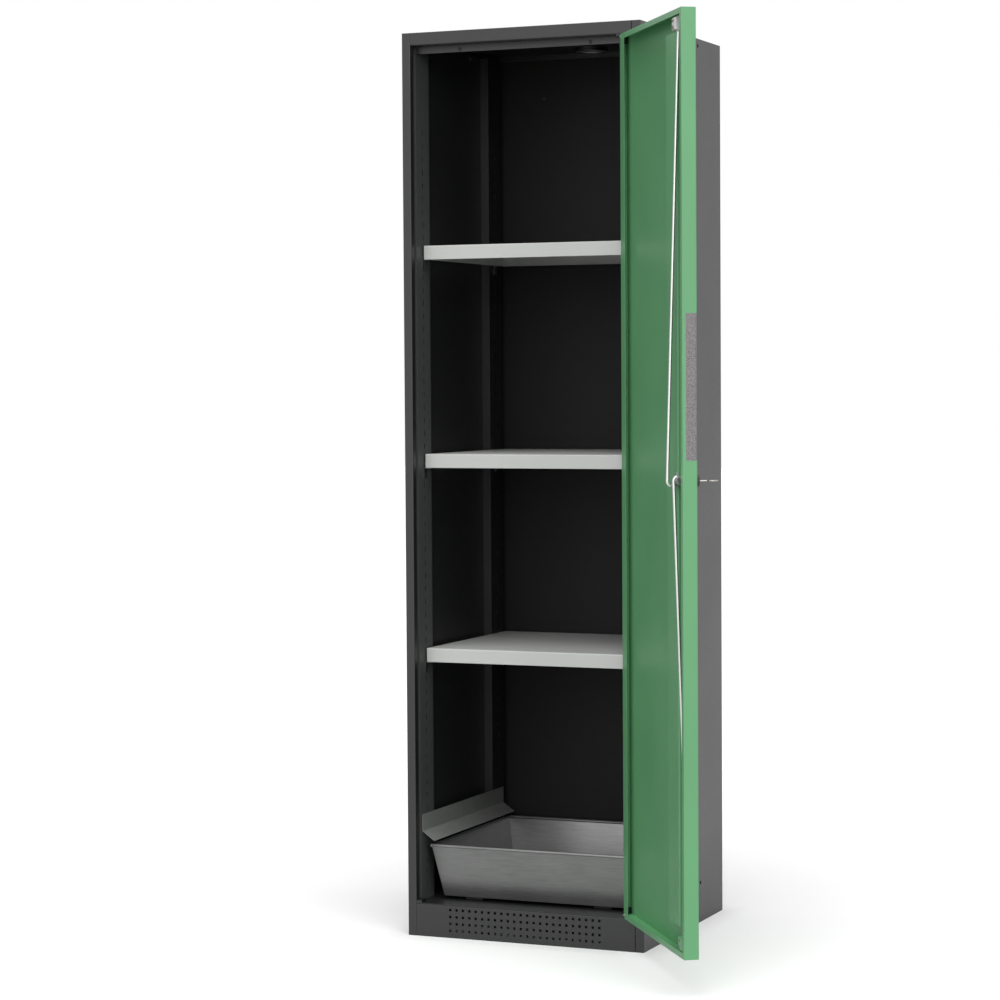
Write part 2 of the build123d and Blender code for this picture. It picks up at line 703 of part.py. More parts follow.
def door_pan():
    """Skin folded at both sides, the hinge edge half as deep, with a folded cap at each end."""
    hinge_face = FRONT + HINGE_EDGE_DEPTH
    hinge_lip_end = DOOR_HINGE_EDGE - HINGE_EDGE_LIP
    section = folded_section(
        [
            (DOOR_FREE_EDGE + FREE_EDGE_LIP, DOOR_INNER_FACE),
            (DOOR_FREE_EDGE, DOOR_INNER_FACE),
            (DOOR_FREE_EDGE, FRONT),
            (DOOR_HINGE_EDGE, FRONT),
            (DOOR_HINGE_EDGE, hinge_face),
            (hinge_lip_end, hinge_face),
        ],
        DOOR_SHEET,
        rounded=(2, 3),
    )
    pan = along_z(section, DOOR_BOTTOM, DOOR_TOP)
    cap = folded_section(
        [
            (DOOR_INNER_FACE, DOOR_TOP - DOOR_LIP),
            (DOOR_INNER_FACE, DOOR_TOP),
            (DOOR_SKIN_INSIDE, DOOR_TOP),
        ],
        DOOR_SHEET,
    )
    top_cap = along_x(cap, DOOR_FREE_EDGE + DOOR_SHEET, DOOR_HINGE_EDGE - DOOR_SHEET)
    top_cap -= spanning_box(
        (DOOR_HINGE_EDGE - CAP_NOTCH, DOOR_HINGE_EDGE),
        (hinge_face - DOOR_SHEET, DOOR_INNER_FACE + OVERRUN),
        (DOOR_TOP - DOOR_LIP - OVERRUN, DOOR_TOP + OVERRUN),
    )
    door_middle = Plane.XY.offset((DOOR_TOP + DOOR_BOTTOM) / 2)
    return pan + top_cap + mirror(top_cap, about=door_middle)


def door_panel():
    """Door pan with its holes for the bushes, rods and lock, and the notch for the grip."""
    panel = door_pan()
    span = DOOR_SHEET + OVERRUN + OVERRUN
    bush_hole = Pos(*PIVOT) * RegularPolygon(BUSH_RADIUS, BUSH_SIDES)
    for edge in (DOOR_BOTTOM, DOOR_TOP):
        panel -= along_z(bush_hole, edge - span / 2, edge + span / 2)
    panel -= rod_hole(UPPER_ROD_LINE, DOOR_TOP, ROD_HOLE_CLEARANCE, span)
    panel -= rod_hole(LOWER_ROD_LINE, DOOR_BOTTOM, ROD_HOLE_CLEARANCE, span)
    barrel = at_lock(RegularPolygon(BARREL_RADIUS + BARREL_HOLE_CLEARANCE, BARREL_SIDES))
    panel -= along_y(barrel, FRONT - OVERRUN, DOOR_SKIN_INSIDE + OVERRUN)
    return panel - spanning_box(
        (DOOR_FREE_EDGE - OVERRUN, DOOR_FREE_EDGE + GRIP_REACH),
        (FRONT - OVERRUN, FRONT + GRIP_DEPTH),
        (GRIP_BOTTOM, GRIP_BOTTOM + GRIP_HEIGHT),
    )


def door_stiffener():
    """Hat section on the inside of the door skin."""
    near = DOOR_FREE_EDGE + STIFFENER_FROM_EDGE
    far = near + STIFFENER_WIDTH
    base = DOOR_SKIN_INSIDE
    face = base + STIFFENER_DEPTH - DOOR_SHEET
    section = folded_section(
        [
            (near - STIFFENER_FOOT, base),
            (near, base),
            (near, face),
            (far, face),
            (far, base),
            (far + STIFFENER_FOOT, base),
        ],
        DOOR_SHEET,
        rounded=(2, 3),
    )
    return along_z(section, DOOR_BOTTOM + STIFFENER_BOTTOM_INSET, DOOR_TOP - STIFFENER_TOP_INSET)


def grip_insert():
    """Moulded insert in the notch of the free edge, with a finger scoop in the outer face."""
    body = spanning_box(
        (DOOR_FREE_EDGE, DOOR_FREE_EDGE + GRIP_REACH),
        (FRONT, FRONT + GRIP_DEPTH),
        (GRIP_BOTTOM, GRIP_BOTTOM + GRIP_HEIGHT),
    )
    outer_edge = body.edges().filter_by(Axis.Z).sort_by(lambda edge: edge.center().X + edge.center().Y)[0]
    body = fillet(outer_edge, GRIP_EDGE_RADIUS)
    scoop_x = DOOR_FREE_EDGE + GRIP_REACH - GRIP_SCOOP_MARGIN - GRIP_SCOOP_WIDTH / 2
    scoop_length = GRIP_HEIGHT - 2 * GRIP_SCOOP_MARGIN
    scoop = Pos(scoop_x, GRIP_BOTTOM + GRIP_HEIGHT / 2) * Rectangle(GRIP_SCOOP_WIDTH, scoop_length)
    scoop = fillet(scoop.vertices(), GRIP_SCOOP_RADIUS)
    return body - along_y(scoop, FRONT - OVERRUN, FRONT + GRIP_SCOOP_DEPTH)


def at_lock(section):
    """Move a section drawn in X and Z to the lock's axis."""
    return Pos(LOCK_X, LOCK_HEIGHT) * section


def on_lock_axis(depth):
    """Point of the lock's axis at a depth behind the door's outer face."""
    return (LOCK_X, FRONT + depth, LOCK_HEIGHT)


def lock_case():
    """Barrel through the door skin with its nut on the inside."""
    case = along_y(at_lock(RegularPolygon(BARREL_RADIUS, BARREL_SIDES)), FRONT, FRONT + BARREL_LENGTH)
    nut = at_lock(RegularPolygon(BARREL_NUT_RADIUS, 6))
    case += along_y(nut, DOOR_SKIN_INSIDE, DOOR_SKIN_INSIDE + BARREL_NUT_HEIGHT)
    bore = PLUG_RADIUS + PLUG_CLEARANCE
    return case - round_bar(on_lock_axis(-OVERRUN), (0, 1, 0), bore, BARREL_LENGTH + OVERRUN + OVERRUN)


def lock_rosette():
    """Chamfered ring round the plug on the outer face."""
    ring = along_y(at_lock(RegularPolygon(ROSETTE_RADIUS, ROSETTE_SIDES)), FRONT - ROSETTE_HEIGHT, FRONT)
    ring = chamfer(ring.faces().sort_by(Axis.Y)[0].edges(), ROSETTE_EDGE)
    bore = RegularPolygon(PLUG_RADIUS + ROSETTE_PLAY, ROSETTE_SIDES, major_radius=False)
    return ring - along_y(at_lock(bore), FRONT - ROSETTE_HEIGHT - OVERRUN, FRONT + OVERRUN)


PLUG_SHOULDER = BARREL_LENGTH + PLUG_PROUD
CAM_TOP = PLUG_SHOULDER + CAM_THICKNESS


def lock_plug():
    """Turning plug with the keyway at the outside and the cam's square neck at the inside."""
    length = ROSETTE_HEIGHT + PLUG_SHOULDER
    plug = round_bar(on_lock_axis(-ROSETTE_HEIGHT), (0, 1, 0), PLUG_RADIUS, length)
    neck = at_lock(Rot(0, 0, CAM_REST_ANGLE) * Rectangle(NECK_WIDTH, NECK_WIDTH))
    plug += along_y(neck, FRONT + PLUG_SHOULDER, FRONT + CAM_TOP)
    tapped = at_lock(RegularPolygon(SCREW_RADIUS + SCREW_PLAY, SCREW_SIDES))
    plug -= along_y(tapped, FRONT + CAM_TOP - SCREW_LENGTH - OVERRUN, FRONT + CAM_TOP + OVERRUN)
    keyway = at_lock(Rectangle(KEY_BLADE_WIDTH + 2 * KEY_PLAY, KEY_THICKNESS + 2 * KEY_PLAY))
    keyway_end = FRONT - ROSETTE_HEIGHT + KEY_BLADE_LENGTH + KEY_PLAY
    return plug - along_y(keyway, FRONT - ROSETTE_HEIGHT - OVERRUN, keyway_end)


def lock_cam():
    """Plate on the plug's neck with a radial slot for the end pin of each rod."""
    slot_half = ROD_PIN_RADIUS + CAM_SLOT_CLEARANCE
    near = ROD_OFFSET - slot_half
    far = hypot(ROD_OFFSET, ROD_TRAVEL / 2) + slot_half
    hole = NECK_WIDTH + 2 * SCREW_PLAY
    plate = chamfer(Rectangle(CAM_LENGTH, CAM_WIDTH).vertices(), CAM_CORNER) - Rectangle(hole, hole)
    for side in (-1, 1):
        plate -= Pos(side * (near + far) / 2, 0) * Rectangle(far - near, 2 * slot_half)
    return along_y(at_lock(Rot(0, 0, CAM_REST_ANGLE) * plate), FRONT + PLUG_SHOULDER, FRONT + CAM_TOP)


def cam_screw():
    """Screw that holds the cam on the plug."""
    head = at_lock(RegularPolygon(SCREW_HEAD_RADIUS, 6))
    screw = along_y(head, FRONT + CAM_TOP, FRONT + CAM_TOP + SCREW_HEAD_HEIGHT)
    shank = at_lock(RegularPolygon(SCREW_RADIUS, SCREW_SIDES))
    return screw + along_y(shank, FRONT + CAM_TOP - SCREW_LENGTH, FRONT + CAM_TOP)


def key():
    """Flat key: blade in the plug, shank and round bow outside."""
    outside = FRONT - ROSETTE_HEIGHT
    bow_middle = outside - KEY_SHANK_LENGTH - KEY_BOW_RADIUS
    half = KEY_BLADE_WIDTH / 2
    shank = make_face(
        Polyline(
            (LOCK_X - half, bow_middle),
            (LOCK_X + half, bow_middle),
            (LOCK_X + half, outside + KEY_BLADE_LENGTH - half),
            (LOCK_X, outside + KEY_BLADE_LENGTH),
            (LOCK_X - half, outside + KEY_BLADE_LENGTH - half),
            close=True,
        )
    )
    outline = shank + Pos(LOCK_X, bow_middle) * RegularPolygon(KEY_BOW_RADIUS, KEY_BOW_SIDES)
    hole = RegularPolygon(KEY_BOW_HOLE_RADIUS, KEY_BOW_SIDES)
    outline -= Pos(LOCK_X, bow_middle - KEY_BOW_HOLE_OFFSET) * hole
    return along_z(outline, LOCK_HEIGHT - KEY_THICKNESS / 2, LOCK_HEIGHT + KEY_THICKNESS / 2)


def lock_rod(line, tip_height):
    """Round rod with an end pin that reaches through the cam."""
    start, direction = line
    tip = point_at_height(start, direction, tip_height)
    heel = start - direction * ROD_RADIUS
    rod = round_bar(heel, direction, ROD_RADIUS, (tip - heel).length)
    pin = Pos(start.X, start.Z) * RegularPolygon(ROD_PIN_RADIUS, ROD_PIN_SIDES)
    return rod + along_y(pin, FRONT + PLUG_SHOULDER, start.Y)


def rod_guide(line, low):
    """Block on the door skin with the rod's slanted six-sided bore."""
    start, direction = line
    block = spanning_box(
        (start.X - GUIDE_WIDTH / 2, start.X + GUIDE_WIDTH / 2),
        (DOOR_SKIN_INSIDE, FRONT + DOOR_SHEET + GUIDE_DEPTH),
        (low, low + GUIDE_HEIGHT),
    )
    block = chamfer(block.faces().sort_by(Axis.Y)[-1].edges(), GUIDE_EDGE)
    bore = Plane(origin=start, z_dir=direction) * RegularPolygon(
        ROD_RADIUS + GUIDE_CLEARANCE, ROD_HOLE_SIDES, major_radius=False
    )
    far_end = point_at_height(start, direction, low + GUIDE_HEIGHT / 2) + direction * GUIDE_HEIGHT
    return block - extrude(bore, amount=(far_end - start).length, dir=direction)


def carcass_nodes():
    """Pieces that stand still."""
    side = left_side_panel()
    nodes = {
        "left_side_panel": side,
        "right_side_panel": mirror(side, about=Plane.YZ),
        "back_panel": back_panel(),
        "roof_panel": roof_panel(),
        "header_rail": header_rail(),
        "floor_panel": floor_panel(),
        "plinth_panel": plinth_panel(),
        "floor_support": floor_support(),
        "foot_brackets": foot_brackets(),
        "levelling_feet": levelling_feet(),
        "sump_tray": sump_tray(),
        "exhaust_spigot": exhaust_spigot(),
        "upper_hinge_pivot": hinge_pivot(HEADER_BOTTOM, -1),
        "lower_hinge_pivot": hinge_pivot(FLOOR_HEIGHT, 1),
        "door_glide": door_glide(),
        "door_buffers": door_buffers(),
    }
    for place, middle in (("front", FRONT_UPRIGHT_MIDDLE), ("rear", REAR_UPRIGHT_MIDDLE)):
        upright = left_upright(middle)
        nodes[f"{place}_left_upright"] = upright
        nodes[f"{place}_right_upright"] = mirror(upright, about=Plane.YZ)
    for place, slot in SHELF_SLOTS.items():
        nodes[f"{place}_shelf"] = shelf(slot)
        nodes[f"{place}_shelf_clips"] = shelf_clips(slot)
    plate = left_drip_plate()
    nodes["left_drip_plate"] = plate
    nodes["right_drip_plate"] = mirror(plate, about=Plane.YZ)
    return nodes


def door_nodes():
    """Pieces that swing with the door, drawn with the door closed."""
    return {
        "door_panel": door_panel(),
        "door_stiffener": door_stiffener(),
        "upper_hinge_bush": hinge_bush(DOOR_TOP, DOOR_TOP_GAP, -1),
        "lower_hinge_bush": hinge_bush(DOOR_BOTTOM, DOOR_BOTTOM_GAP, 1),
        "grip_insert": grip_insert(),
        "lock_case": lock_case(),
        "lock_rosette": lock_rosette(),
        "lock_plug": lock_plug(),
        "lock_cam": lock_cam(),
        "cam_screw": cam_screw(),
        "key": key(),
        "upper_rod": lock_rod(UPPER_ROD_LINE, DOOR_TOP - ROD_TIP_INSET),
        "lower_rod": lock_rod(LOWER_ROD_LINE, DOOR_BOTTOM + ROD_TIP_INSET),
        "upper_rod_guide": rod_guide(UPPER_ROD_LINE, DOOR_TOP - GUIDE_INSET - GUIDE_HEIGHT),
        "lower_rod_guide": rod_guide(LOWER_ROD_LINE, DOOR_BOTTOM + GUIDE_INSET),
    }


def main():
    """Write one file for each node, with the door at its rest angle."""
    os.makedirs("parts", exist_ok=True)
    swing = Pos(*PIVOT) * Rot(0, 0, DOOR_REST_ANGLE) * Pos(-PIVOT[0], -PIVOT[1])
    nodes = carcass_nodes()
    for name, piece in door_nodes().items():
        nodes[name] = swing * piece
    for name, piece in nodes.items():
        export_step(piece, f"parts/{name}.step")


main()
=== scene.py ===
import json
from math import cos, pi, radians, sin

import bmesh
import bpy
import numpy as np
from mathutils import Matrix, Vector


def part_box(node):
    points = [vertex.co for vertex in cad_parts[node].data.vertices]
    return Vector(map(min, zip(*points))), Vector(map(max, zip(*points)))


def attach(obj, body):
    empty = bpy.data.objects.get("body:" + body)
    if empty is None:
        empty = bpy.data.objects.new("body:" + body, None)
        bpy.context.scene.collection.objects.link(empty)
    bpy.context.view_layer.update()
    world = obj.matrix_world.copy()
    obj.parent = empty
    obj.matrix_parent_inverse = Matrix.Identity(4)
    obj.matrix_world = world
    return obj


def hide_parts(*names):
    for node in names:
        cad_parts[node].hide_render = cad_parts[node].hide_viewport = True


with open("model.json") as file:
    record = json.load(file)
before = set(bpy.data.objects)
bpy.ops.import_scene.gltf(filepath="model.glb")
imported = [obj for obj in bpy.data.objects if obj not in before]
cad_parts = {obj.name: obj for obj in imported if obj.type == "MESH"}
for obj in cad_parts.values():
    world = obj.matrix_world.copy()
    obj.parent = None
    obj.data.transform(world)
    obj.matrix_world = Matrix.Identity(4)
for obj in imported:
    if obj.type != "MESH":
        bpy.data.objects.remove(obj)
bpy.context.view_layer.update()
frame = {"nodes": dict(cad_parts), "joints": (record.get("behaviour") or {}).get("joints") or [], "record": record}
nodes = frame["nodes"]
record = frame["record"]
joints = {joint["name"]: joint for joint in frame["joints"]}
mounts = {mount["name"]: mount for mount in record["mounts"]}
scene = bpy.context.scene
scene.view_settings.view_transform = "Standard"
MILLIMETRE = 0.001
UP = (0, 0, 1)
DOWN = (0, 0, -1)
FORWARD = (0, -1, 0)
BLACK = (0, 0, 0, 1)
WHITE = (1, 1, 1, 1)


# Camera, placed as in the photograph
CAMERA_PLACE = Vector((2.3070, -5.8212, 1.2092))
CAMERA_YAW = radians(22.964)
CAMERA_PITCH = radians(-2.4587)
CAMERA_ROLL = radians(-0.3635)
CAMERA_LENS = 102.08


def set_camera():
    """Camera turned by a yaw, a pitch and then a roll about its own axis."""
    level = Vector((cos(CAMERA_YAW), sin(CAMERA_YAW), 0))
    ahead = Vector((-sin(CAMERA_YAW), cos(CAMERA_YAW), 0)) * cos(CAMERA_PITCH)
    ahead.z = sin(CAMERA_PITCH)
    above = level.cross(ahead)
    across = level * cos(CAMERA_ROLL) + above * sin(CAMERA_ROLL)
    upward = above * cos(CAMERA_ROLL) - level * sin(CAMERA_ROLL)
    data = bpy.data.cameras.new("camera")
    data.lens = CAMERA_LENS
    camera = bpy.data.objects.new("camera", data)
    scene.collection.objects.link(camera)
    turn = Matrix((across, upward, -ahead)).transposed().to_4x4()
    camera.matrix_world = Matrix.Translation(CAMERA_PLACE) @ turn
    scene.camera = camera


# Shader values
class Val:
    """A socket of a shader tree. Arithmetic adds Math nodes, and node() adds any other node."""

    def __init__(self, tree, socket):
        self.tree = tree
        self.socket = socket

    def feed(self, port, value):
        """Link a value to an input, or set the input to a plain number, colour or vector."""
        if isinstance(value, Val):
            self.tree.links.new(value.socket, port)
        else:
            port.default_value = value

    def node(self, kind, settings, inputs, output=0):
        """Add a node of a kind, with its settings first and then its inputs."""
        made = self.tree.nodes.new(kind)
        for name, value in settings.items():
            setattr(made, name, value)
        for name, value in inputs.items():
            self.feed(made.inputs[name], value)
        return Val(self.tree, made.outputs[output])

    def maths(self, operation, *values):
        """Add a Math node on values."""
        return self.node("ShaderNodeMath", {"operation": operation}, dict(enumerate(values)))

    def __add__(self, other):
        return self.maths("ADD", self, other)

    def __radd__(self, other):
        return self.maths("ADD", other, self)

    def __sub__(self, other):
        return self.maths("SUBTRACT", self, other)

    def __rsub__(self, other):
        return self.maths("SUBTRACT", other, self)

    def __mul__(self, other):
        return self.maths("MULTIPLY", self, other)

    def __rmul__(self, other):
        return self.maths("MULTIPLY", other, self)


def object_place(tree):
    """Object coordinates, in metres of the shared frame."""
    return Val(tree, tree.nodes.new("ShaderNodeTexCoord").outputs["Object"])


def coordinate(place, axis):
    """One coordinate of a place."""
    return place.node("ShaderNodeSeparateXYZ", {}, {"Vector": place}, axis)


def stretched(place, x, y, z):
    """Object coordinates with each axis multiplied by its own factor."""
    return place.node("ShaderNodeVectorMath", {"operation": "MULTIPLY"}, {0: place, 1: (x, y, z)})


def noise(place, cells, detail=2.0, roughness=0.5):
    """Noise between 0 and 1 over Object coordinates, with so many cells to the metre."""
    inputs = {"Vector": place, "Scale": cells, "Detail": detail, "Roughness": roughness}
    return place.node("ShaderNodeTexNoise", {}, inputs, "Fac")


def spread(value, low, high):
    """A value between low and high stretched to run from 0 to 1."""
    inputs = {"Value": value, "From Min": low, "From Max": high}
    return value.node("ShaderNodeMapRange", {}, inputs)


# Numbers of a Mix node's sockets that mix colours
MIX_FACTOR = 0
MIX_FIRST = 6
MIX_SECOND = 7
MIX_RESULT = 2


def mixed(factor, first, second):
    """Colour between two colours."""
    inputs = {MIX_FACTOR: factor, MIX_FIRST: first, MIX_SECOND: second}
    return factor.node("ShaderNodeMix", {"data_type": "RGBA"}, inputs, MIX_RESULT)


def bump(height, distance, strength):
    """Normal of a surface raised by a height that is given in parts of a distance."""
    inputs = {"Height": height, "Distance": distance, "Strength": strength}
    return height.node("ShaderNodeBump", {}, inputs)


def linear(screen):
    """Linear light of a screen value between 0 and 255, by the standard sRGB curve."""
    part = screen / 255
    return part / 12.92 if part < 0.04045 else ((part + 0.055) / 1.055) ** 2.4


def srgb(red, green, blue, share=1.0):
    """Linear colour from screen values between 0 and 255, times a share."""
    return (*(min(linear(value) * share, 1.0) for value in (red, green, blue)), 1.0)


# Finishes, each a recipe of Principled inputs
def powder_coat(place, red, green, blue, roughness, shine=0.5):
    """Baked powder paint: faint clouding, a fine orange peel and slightly wavy sheet beneath."""
    cloud = noise(place, cells=4.0, detail=4.0)
    peel = noise(place, cells=700.0)
    sheet = noise(stretched(place, 1.0, 1.0, 0.35), cells=5.0, detail=1.0)
    dust = spread(noise(place, cells=160.0, detail=5.0, roughness=0.7), 0.45, 0.8)
    dark = srgb(red, green, blue, share=0.9)
    pale = srgb(red, green, blue, share=1.1)
    return {
        "Base Color": mixed(cloud, dark, pale),
        "Roughness": roughness + 0.08 * cloud + 0.05 * dust,
        "Normal": bump(peel + 14.0 * sheet, distance=0.0004, strength=0.35),
        "Specular IOR Level": shine,
    }


def carcass_paint(place):
    """Satin anthracite outside the carcass."""
    return powder_coat(place, 30, 30, 31, roughness=0.36)


def painted_shade_inside_paint(place):
    """The carcass paint darkened and dulled as painted shade, on sheets that only show inside."""
    return powder_coat(place, 22, 22, 22, roughness=0.55, shine=0.2)


def painted_light_upright_paint(place):
    """The same paint, paler as painted light and rougher, on the slotted strips beside the door opening."""
    return powder_coat(place, 74, 75, 75, roughness=0.45, shine=0.3)


def door_paint(place):
    """Satin green."""
    return powder_coat(place, 102, 167, 116, roughness=0.36)


def shelf_paint(place):
    """Light grey."""
    return powder_coat(place, 200, 201, 199, roughness=0.34)


def galvanised(place):
    """Zinc-coated sheet drawn to a satin skin: long fine lines over faint clouds."""
    bloom = noise(place, cells=7.0, detail=4.0, roughness=0.55)
    lines = noise(stretched(place, 0.06, 0.06, 1.0), cells=420.0, detail=3.0, roughness=0.6)
    blend = spread(0.4 * bloom + 0.6 * lines, 0.3, 0.7)
    return {
        "Base Color": mixed(blend, srgb(100, 101, 100), srgb(122, 123, 122)),
        "Metallic": 0.9,
        "Roughness": 0.24 + 0.06 * bloom + 0.08 * lines,
        "Normal": bump(lines, distance=0.0002, strength=0.1),
    }


# Painted shade: the tray's skids are painted black up to this height
SKID_HEIGHT = 0.008
SHADE_EDGE = 0.0006


def tray_sheet_painted_shade(place):
    """The tray's zinc-coated sheet, with its skids painted dull black up to its underside as painted shade under
    the tray.
    """
    sheet = galvanised(place)
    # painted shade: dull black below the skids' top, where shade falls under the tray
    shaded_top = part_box("sump_tray")[0].z + SKID_HEIGHT
    above_shade = spread(coordinate(place, "Z"), shaded_top - SHADE_EDGE, shaded_top)
    return {
        "Base Color": mixed(above_shade, srgb(20, 20, 20), sheet["Base Color"]),
        "Metallic": sheet["Metallic"] * above_shade,
        "Roughness": sheet["Roughness"] + 0.4 * (1 - above_shade),
        "Normal": sheet["Normal"],
    }


def painted_light_zinc_sheet(place):
    """Zinc-coated strip, made pale and dull as painted light, with barely visible crystals."""
    cells = {"Vector": place, "Scale": 130.0, "Randomness": 1.0}
    crystal = place.node("ShaderNodeTexVoronoi", {}, cells, "Color")
    shade = crystal.node("ShaderNodeSeparateColor", {}, {"Color": crystal})
    bloom = noise(place, cells=7.0, detail=4.0, roughness=0.55)
    blend = spread(0.25 * shade + 0.75 * bloom, 0.25, 0.75)
    return {
        "Base Color": mixed(blend, srgb(128, 130, 128), srgb(150, 152, 150)),
        "Metallic": 0.3,
        "Roughness": 0.42 + 0.06 * shade + 0.1 * bloom,
    }


def bright_steel(place):
    """Zinc-plated steel with fine drawing lines along its length."""
    lines = noise(stretched(place, 1.0, 1.0, 0.03), cells=900.0, detail=3.0, roughness=0.6)
    cloud = noise(place, cells=12.0, detail=3.0)
    return {
        "Base Color": mixed(cloud, srgb(184, 186, 184), srgb(208, 210, 206)),
        "Metallic": 1.0,
        "Roughness": 0.26 + 0.12 * lines + 0.06 * cloud,
        "Normal": bump(lines, distance=0.0001, strength=0.2),
    }


def key_metal(place):
    """Nickel-plated key stock, lightly rubbed."""
    rub = noise(stretched(place, 1.0, 1.0, 6.0), cells=160.0, detail=4.0, roughness=0.6)
    return {
        "Base Color": mixed(rub, srgb(160, 157, 150), srgb(188, 185, 178)),
        "Metallic": 1.0,
        "Roughness": 0.2 + 0.18 * rub,
    }


def moulding(place, red, green, blue, roughness, grain):
    """Moulded plastic or rubber with a fine spark-eroded grain of a given strength."""
    grains = noise(place, cells=1300.0)
    cloud = noise(place, cells=25.0, detail=3.0)
    dark = srgb(red, green, blue, share=0.93)
    pale = srgb(red, green, blue, share=1.05)
    return {
        "Base Color": mixed(cloud, dark, pale),
        "Roughness": roughness + 0.1 * grains,
        "Normal": bump(grains, distance=0.0002, strength=grain),
    }


def white_plastic(place):
    """Off-white guide block."""
    return moulding(place, 222, 223, 218, roughness=0.4, grain=0.15)


def black_plastic(place):
    """Black moulding with a slight gloss."""
    return moulding(place, 24, 24, 25, roughness=0.34, grain=0.2)


def buffer_rubber(place):
    """Dull black rubber."""
    return moulding(place, 30, 30, 31, roughness=0.62, grain=0.3)


def grip_plastic(place):
    """Filled grey moulding with pale and dark flecks."""
    fleck = spread(noise(place, cells=620.0), 0.36, 0.66)
    patch = noise(place, cells=210.0, detail=3.0)
    ground = mixed(fleck, srgb(84, 83, 85), srgb(158, 155, 158))
    return {
        "Base Color": mixed(0.25 * patch, ground, srgb(140, 118, 122)),
        "Roughness": 0.45 + 0.15 * fleck,
        "Normal": bump(fleck, distance=0.0003, strength=0.3),
    }


RECIPES = (
    carcass_paint,
    painted_shade_inside_paint,
    painted_light_upright_paint,
    door_paint,
    shelf_paint,
    galvanised,
    tray_sheet_painted_shade,
    painted_light_zinc_sheet,
    bright_steel,
    key_metal,
    white_plastic,
    black_plastic,
    buffer_rubber,
    grip_plastic,
)


def make_material(recipe):
    """Material of the recipe's name, whose Principled shader takes the recipe's inputs."""
    material = bpy.data.materials.new(recipe.__name__)
    material.use_nodes = True
    tree = material.node_tree
    shader = tree.nodes["Principled BSDF"]
    place = object_place(tree)
    for name, value in recipe(place).items():
        place.feed(shader.inputs[name], value)
    return material


materials = {recipe.__name__: make_material(recipe) for recipe in RECIPES}


# Nodes whose finish differs from the look of their slot; the back panel, front uprights, tray and drip plates wear
# painted shade or painted light
FINISHES = {
    # painted shade: the back panel wears a darker, duller copy of the carcass paint
    "back_panel": "painted_shade_inside_paint",
    # painted light: the front uprights wear a paler copy of the carcass paint
    "front_left_upright": "painted_light_upright_paint",
    "front_right_upright": "painted_light_upright_paint",
    # painted shade: the tray's skids are blackened
    "sump_tray": "tray_sheet_painted_shade",
    # painted light: the drip plates wear a paler, duller copy of the zinc sheet
    "left_drip_plate": "painted_light_zinc_sheet",
    "right_drip_plate": "painted_light_zinc_sheet",
    "door_glide": "black_plastic",
    "lower_rod_guide": "door_paint",
    "upper_hinge_pivot": "carcass_paint",
    "lower_hinge_pivot": "carcass_paint",
}


def dress_nodes():
    """Each CAD node wears the material of its slot, or its own finish."""
    for entry in record["subparts"]:
        slots = nodes[entry["node"]].data.materials
        slots.clear()
        slots.append(materials[FINISHES.get(entry["node"], entry["material_slot"])])


# Meshes from grids of points
CREASE = radians(38)
SAME_POINT = 1e-6
STEEP = 0.9


def quads(rows, columns, round_rows, round_columns):
    """Corner numbers of a grid's faces, closed up where its rows or columns run round."""
    row = np.arange(rows if round_rows else rows - 1)
    column = np.arange(columns if round_columns else columns - 1)
    a, b = np.meshgrid(row, column, indexing="ij")
    here = a * columns
    after = (a + 1) % rows * columns
    next_b = (b + 1) % columns
    corners = (here + b, here + next_b, after + next_b, after + b)
    return np.stack(corners, -1).reshape(-1, 4)


def make_piece(name, surfaces, slot, body, replaced=()):
    """One mesh of closed surfaces, dressed, riding on a body and standing for replaced nodes.

    Each surface is a grid of points, with whether its rows and whether its columns run round.
    """
    points = []
    faces = []
    count = 0
    for grid, round_rows, round_columns in surfaces:
        rows, columns = grid.shape[:2]
        points.append(grid.reshape(-1, 3))
        faces.append(count + quads(rows, columns, round_rows, round_columns))
        count += rows * columns
    mesh = bpy.data.meshes.new(name)
    mesh.from_pydata(np.concatenate(points).tolist(), [], np.concatenate(faces).tolist())
    shell = bmesh.new()
    shell.from_mesh(mesh)
    bmesh.ops.remove_doubles(shell, verts=shell.verts, dist=SAME_POINT)
    bmesh.ops.dissolve_degenerate(shell, edges=shell.edges, dist=SAME_POINT)
    bmesh.ops.recalc_face_normals(shell, faces=shell.faces)
    shell.to_mesh(mesh)
    shell.free()
    mesh.polygons.foreach_set("use_smooth", np.ones(len(mesh.polygons), bool))
    mesh.set_sharp_from_angle(angle=CREASE)
    mesh.materials.append(materials[slot])
    piece = bpy.data.objects.new(name, mesh)
    scene.collection.objects.link(piece)
    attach(piece, body)
    if replaced:
        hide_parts(*replaced)


def unit(vector):
    """Vectors along the last axis, brought to a length of one."""
    return vector / np.linalg.norm(vector, axis=-1, keepdims=True)


def middle(node):
    """Centre of a node's box."""
    low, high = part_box(node)
    return np.array((low + high) / 2)


def turned(profile, place, axis, sides, ring=False):
    """A profile of radius and height turned round an axis through a place.

    Point = place + height * axis + radius * (cos(turn) * first + sin(turn) * second), where
    first and second are square to the axis. A ring's profile runs round; any other starts and
    ends on the axis.
    """
    profile = np.asarray(profile, float)
    axis = unit(np.asarray(axis, float))
    first = unit(np.cross(axis, UP if abs(axis[2]) < STEEP else (1, 0, 0)))
    second = np.cross(axis, first)
    turn = np.linspace(0, 2 * pi, sides, endpoint=False)
    spokes = np.cos(turn)[:, None] * first + np.sin(turn)[:, None] * second
    heights = profile[:, None, 1:] * axis
    return np.asarray(place, float) + heights + profile[:, None, :1] * spokes, ring, True


